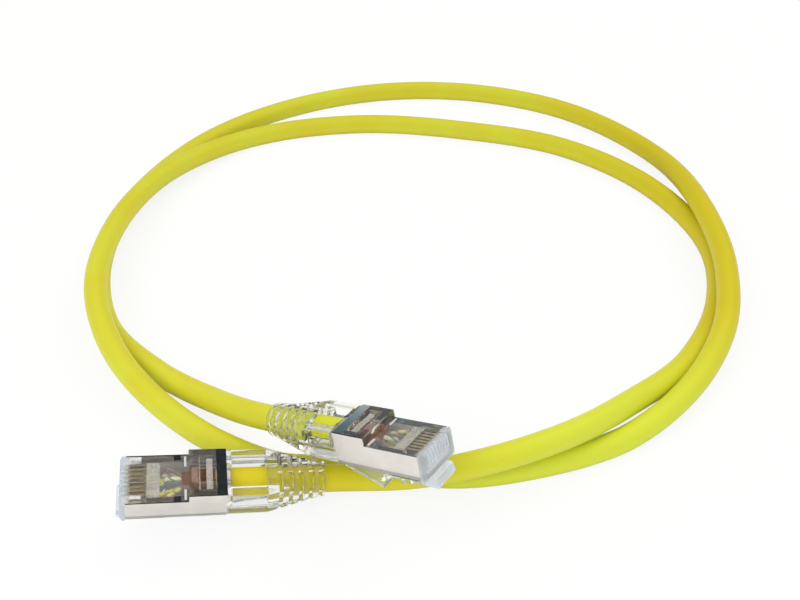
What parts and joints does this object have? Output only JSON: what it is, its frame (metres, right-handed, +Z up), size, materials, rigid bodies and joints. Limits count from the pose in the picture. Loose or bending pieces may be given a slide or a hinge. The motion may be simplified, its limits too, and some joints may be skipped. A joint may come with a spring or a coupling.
{
  "type": "ethernet patch cable",
  "caption": "Shielded network patch cable laid down in loops, with a clear modular plug, a spring latch and a ribbed boot at each end.",
  "frame": {"origin": "on the floor, under the middle of the space that the two plugs and their boots take up", "axes": "+X runs to the right along the two plugs, +Y from the plugs across the cable's loops, +Z up"},
  "size_m": [0.1745, 0.1868, 0.0264],
  "materials": {
    "yellow_jacket": "satin soft PVC",
    "tinned_braid": "fine tinned braid",
    "tinned_wire": "bright tinned wire",
    "blue_wire": "smooth insulation",
    "orange_wire": "smooth insulation",
    "green_wire": "smooth insulation",
    "brown_wire": "smooth insulation",
    "white_orange_wire": "smooth striped insulation",
    "white_green_wire": "smooth striped insulation",
    "white_blue_wire": "smooth striped insulation",
    "white_brown_wire": "smooth striped insulation",
    "clear_housing": "moulded clear plastic",
    "clear_latch": "moulded clear plastic",
    "clear_boot": "moulded clear plastic",
    "white_nylon": "moulded",
    "plated_shield": "nickel plating",
    "copper_braid": "tarnished braid",
    "gold_plate": "gold plating"
  },
  "bodies": {
    "cable_and_plugs": {"cable_jacket": "yellow_jacket", "cable_braid": "tinned_braid", "drain_wire": "tinned_wire", "pair_blue": "blue_wire", "pair_orange": "orange_wire", "pair_green": "green_wire", "pair_brown": "brown_wire", "plug_housing_a": "clear_housing", "load_bar_a": "white_nylon", "shield_a": "plated_shield", "screen_wrap_a": "copper_braid", "boot_a": "clear_boot", "plug_housing_b": "clear_housing", "load_bar_b": "white_nylon", "shield_b": "plated_shield", "screen_wrap_b": "copper_braid", "boot_b": "clear_boot", "contact_a_1": "gold_plate", "contact_a_2": "gold_plate", "contact_a_3": "gold_plate", "contact_a_4": "gold_plate", "contact_a_5": "gold_plate", "contact_a_6": "gold_plate", "contact_a_7": "gold_plate", "contact_a_8": "gold_plate", "contact_b_1": "gold_plate", "contact_b_2": "gold_plate", "contact_b_3": "gold_plate", "contact_b_4": "gold_plate", "contact_b_5": "gold_plate", "contact_b_6": "gold_plate", "contact_b_7": "gold_plate", "contact_b_8": "gold_plate", "conductor_a_1": "white_orange_wire", "conductor_a_2": "orange_wire", "conductor_a_3": "white_green_wire", "conductor_a_4": "blue_wire", "conductor_a_5": "white_blue_wire", "conductor_a_6": "green_wire", "conductor_a_7": "white_brown_wire", "conductor_a_8": "brown_wire", "conductor_b_1": "white_orange_wire", "conductor_b_2": "orange_wire", "conductor_b_3": "white_green_wire", "conductor_b_4": "blue_wire", "conductor_b_5": "white_blue_wire", "conductor_b_6": "green_wire", "conductor_b_7": "white_brown_wire", "conductor_b_8": "brown_wire"},
    "latch_a": {"latch_a": "clear_latch"},
    "guard_a": {"latch_guard_a": "clear_latch"},
    "latch_b": {"latch_b": "clear_latch"},
    "guard_b": {"latch_guard_b": "clear_latch"}
  },
  "joints": [
    {"name": "latch_a_bend", "type": "hinge", "parent": "cable_and_plugs", "child": "latch_a", "pos_m": [-0.03318, -0.00832, 0.00802], "axis": [0.1566, -0.9823, -0.1032], "range_deg": [-5.2, 9.8], "stiffness_Nm_per_rad": 0.05},
    {"name": "guard_a_swing", "type": "hinge", "parent": "cable_and_plugs", "child": "guard_a", "pos_m": [-0.00407, -0.00308, 0.00237], "axis": [0.1566, -0.9823, -0.1032], "range_deg": [-7.84, 4.16]},
    {"name": "latch_b_bend", "type": "hinge", "parent": "cable_and_plugs", "child": "latch_b", "pos_m": [0.03162, -0.01003, 0.01939], "axis": [0.5389, 0.826, -0.1651], "range_deg": [-2, 13], "stiffness_Nm_per_rad": 0.05},
    {"name": "guard_b_swing", "type": "hinge", "parent": "cable_and_plugs", "child": "guard_b", "pos_m": [0.007, 0.004, 0.0092], "axis": [0.5389, 0.826, -0.1651], "range_deg": [-10.4, 1.6]}
  ],
  "couplings": [
    {"joint": "guard_a_swing", "follows": "latch_a_bend", "ratio": -0.8},
    {"joint": "guard_b_swing", "follows": "latch_b_bend", "ratio": -0.8}
  ]
}
